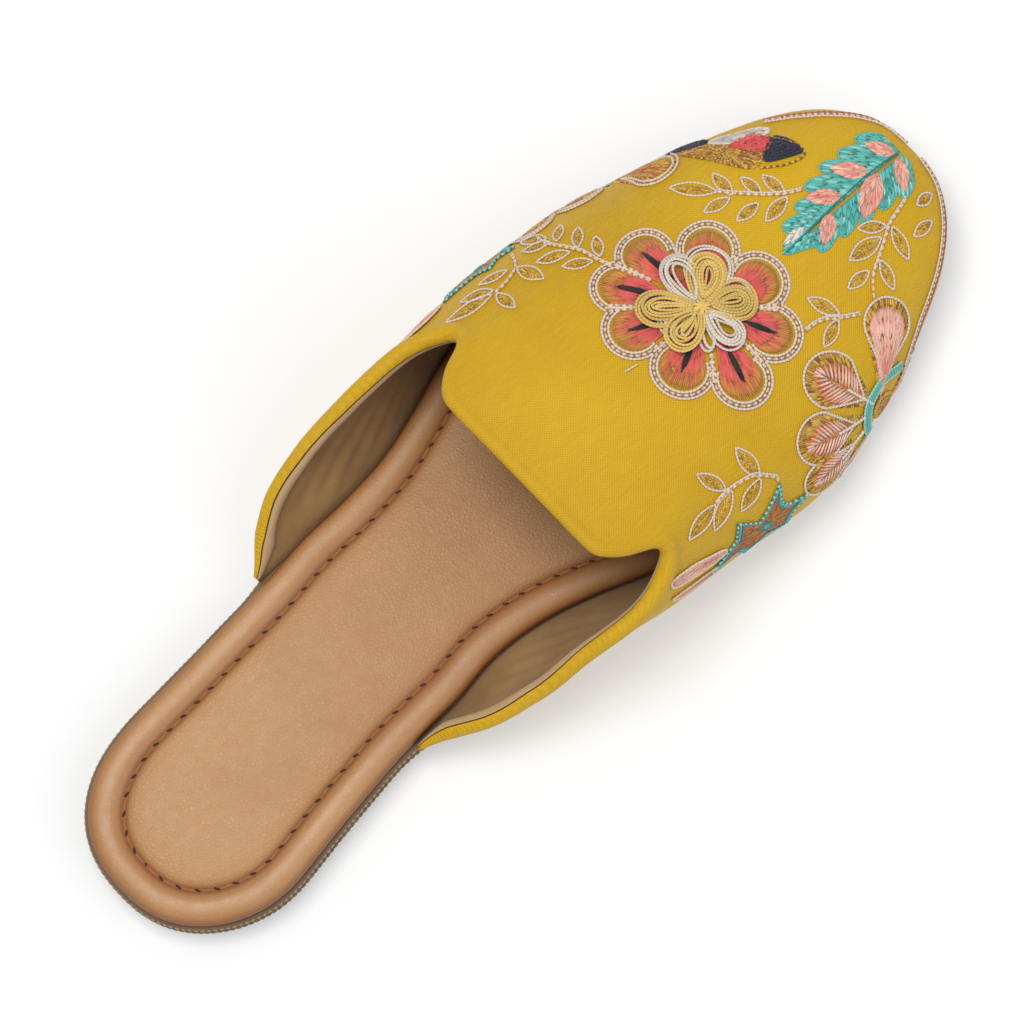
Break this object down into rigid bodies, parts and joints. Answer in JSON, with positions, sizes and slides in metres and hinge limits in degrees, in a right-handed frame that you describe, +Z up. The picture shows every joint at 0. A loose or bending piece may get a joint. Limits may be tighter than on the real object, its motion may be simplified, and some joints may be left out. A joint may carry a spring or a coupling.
{
  "type": "babouche slipper",
  "caption": "Left backless slipper with a wide closed vamp, side wings, padded footbed and a low moulded sole.",
  "frame": {"origin": "floor point below the middle of the bounding box", "axes": "+X from heel to toe, +Y towards the outer side of a left foot, +Z up"},
  "size_m": [0.252, 0.092, 0.0631],
  "materials": {
    "outsole": "matt moulded sole with two raised rows round its side",
    "footbed": "grained tan lining leather, stitched border",
    "upper": "mustard satin with floral thread embroidery"
  },
  "bodies": {
    "root": {"outsole": "outsole", "footbed": "footbed", "upper": "upper"}
  },
  "joints": []
}
